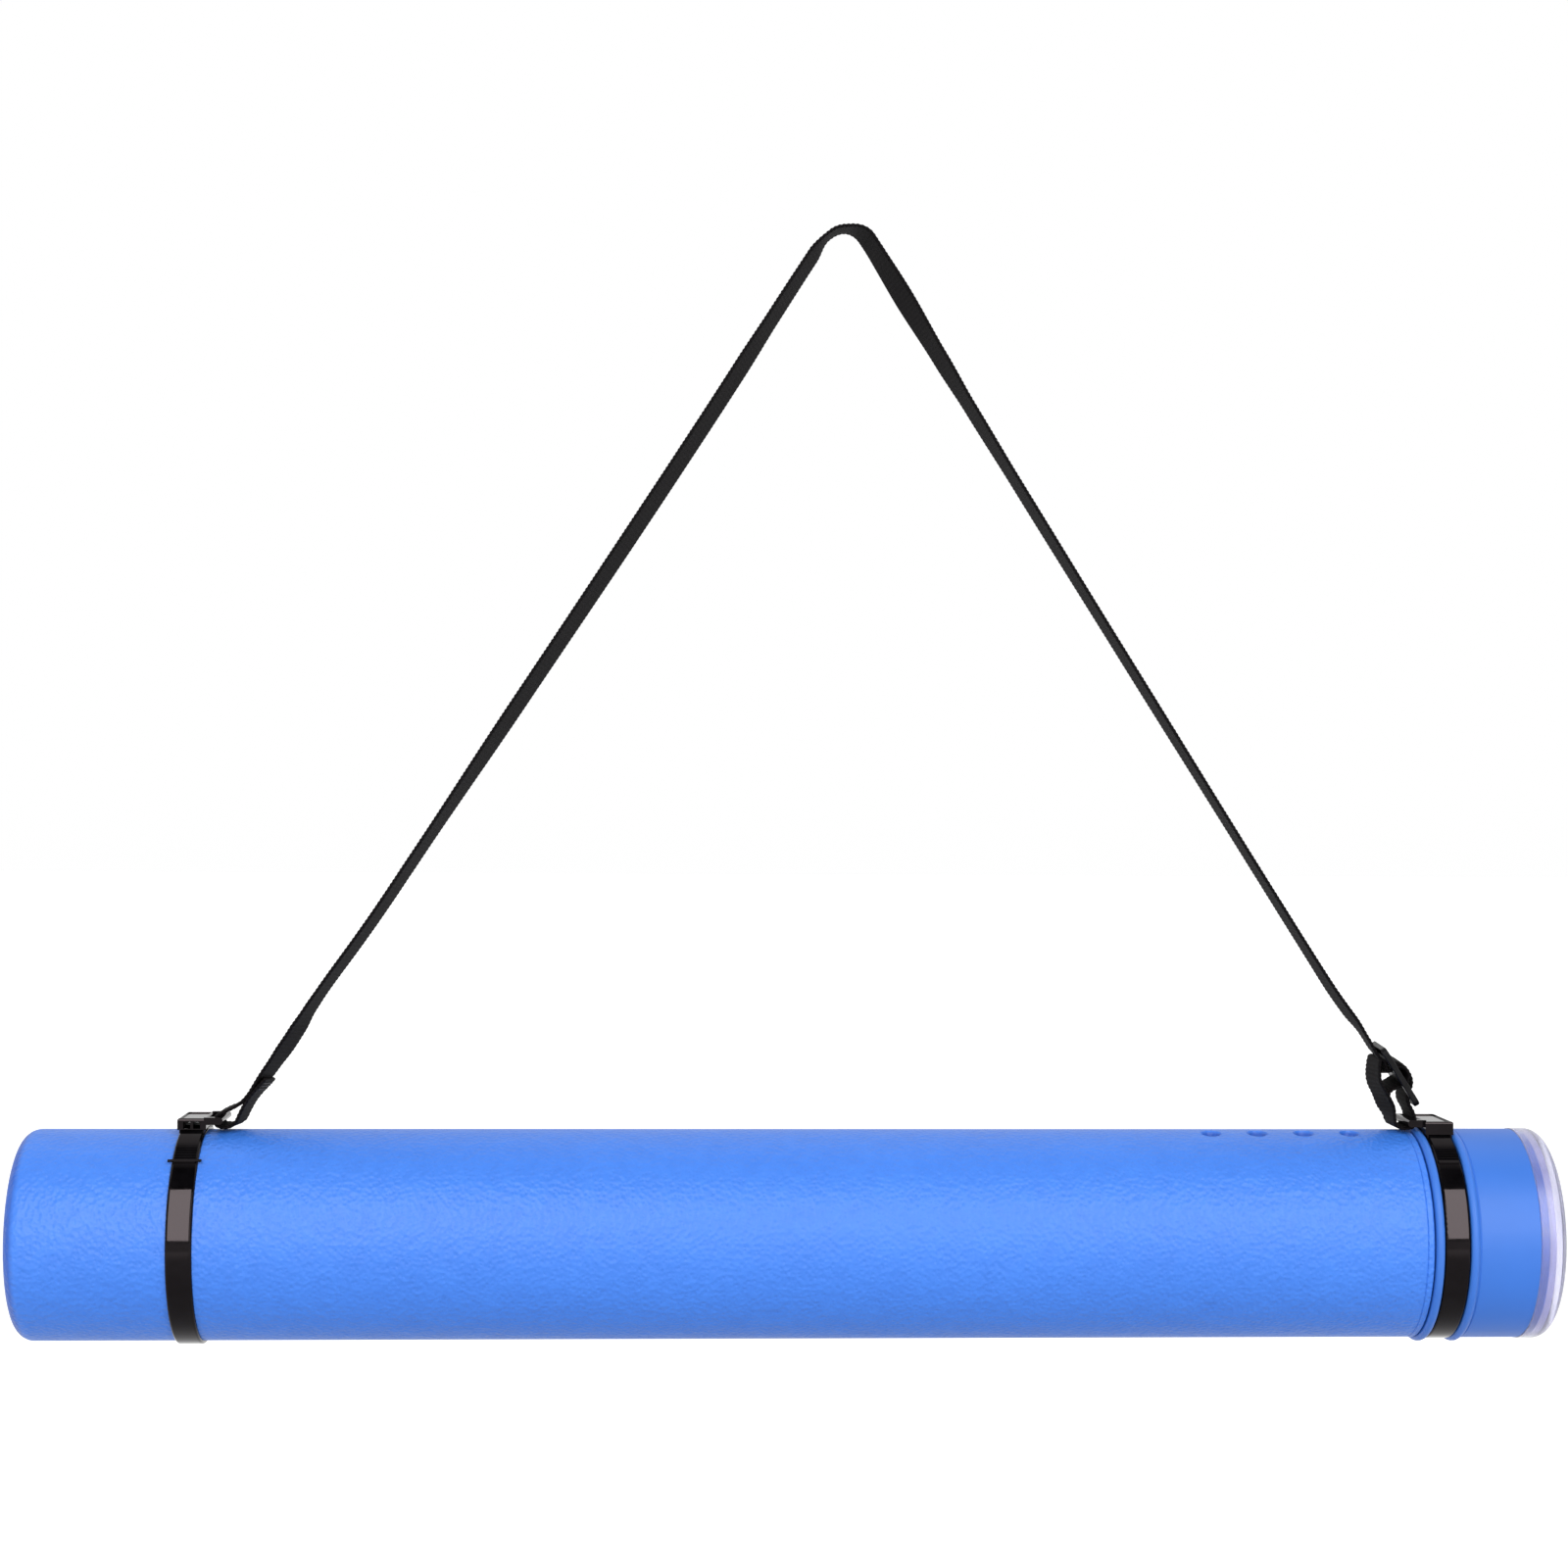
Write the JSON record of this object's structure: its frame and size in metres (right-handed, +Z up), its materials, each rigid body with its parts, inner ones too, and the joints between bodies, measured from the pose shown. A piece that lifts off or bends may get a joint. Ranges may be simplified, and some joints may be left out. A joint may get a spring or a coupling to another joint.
{
  "type": "drawing tube",
  "caption": "Telescopic tube for carrying rolled drawings, with a push-on translucent lid and an adjustable webbing strap held by two buckled bands.",
  "frame": {"origin": "the point that the strap hangs from, on the inner face of the webbing at its highest bend, above the tube's axis", "axes": "+X along the tube from its closed end to its lid, +Z up, so the front with the band tails faces -Y"},
  "size_m": [0.6588, 0.0934, 0.485],
  "materials": {
    "blue_textured": "matte",
    "blue_smooth": "satin",
    "translucent_cap": "satin",
    "black_gloss": "gloss",
    "black_satin": "satin",
    "pin_metal": "brushed",
    "guide_felt": "matte",
    "black_webbing": "matte",
    "black_thread": "matte"
  },
  "bodies": {
    "outer": {"outer_tube": "blue_textured", "band_left": "black_gloss", "buckle_left": "black_gloss", "pawl_pin_left": "pin_metal", "pawl_spring_left": "pin_metal", "webbing_strap": "black_webbing", "webbing_left_fold": "black_webbing", "stitching_left": "black_thread"},
    "inner": {"inner_tube": "blue_smooth", "guide_ring": "guide_felt", "band_right": "black_gloss", "buckle_right": "black_gloss", "pawl_pin_right": "pin_metal", "pawl_spring_right": "pin_metal", "webbing_right_fold": "black_webbing"},
    "lid": {"lid": "translucent_cap"},
    "pawl_left": {"pawl_left": "black_satin"},
    "pawl_right": {"pawl_right": "black_satin"},
    "adjuster": {"strap_adjuster": "black_satin", "stitching_right": "black_thread"}
  },
  "joints": [
    {"name": "telescope", "type": "slide", "parent": "outer", "child": "inner", "axis": [1, 0, 0], "range_m": [0, 0.45], "deforming": ["webbing_strap"]},
    {"name": "lid_pull", "type": "slide", "parent": "inner", "child": "lid", "axis": [1, 0, 0], "range_m": [0, 0.04]},
    {"name": "adjuster_slide", "type": "slide", "parent": "inner", "child": "adjuster", "axis": [-0.5343, 0, 0.8453], "range_m": [0, 0.04], "deforming": ["webbing_strap", "webbing_right_fold"]},
    {"name": "pawl_left_release", "type": "hinge", "parent": "outer", "child": "pawl_left", "pos_m": [-0.27855, 0.0055, -0.3885], "axis": [-1, 0, 0], "range_deg": [0, 3], "stiffness_Nm_per_rad": 0.002, "springref_deg": -5.73, "deforming": ["pawl_spring_left"]},
    {"name": "pawl_right_release", "type": "hinge", "parent": "inner", "child": "pawl_right", "pos_m": [0.2589, 0.0055, -0.3894], "axis": [-1, 0, 0], "range_deg": [0, 3], "stiffness_Nm_per_rad": 0.002, "springref_deg": -5.73, "deforming": ["pawl_spring_right"]}
  ]
}
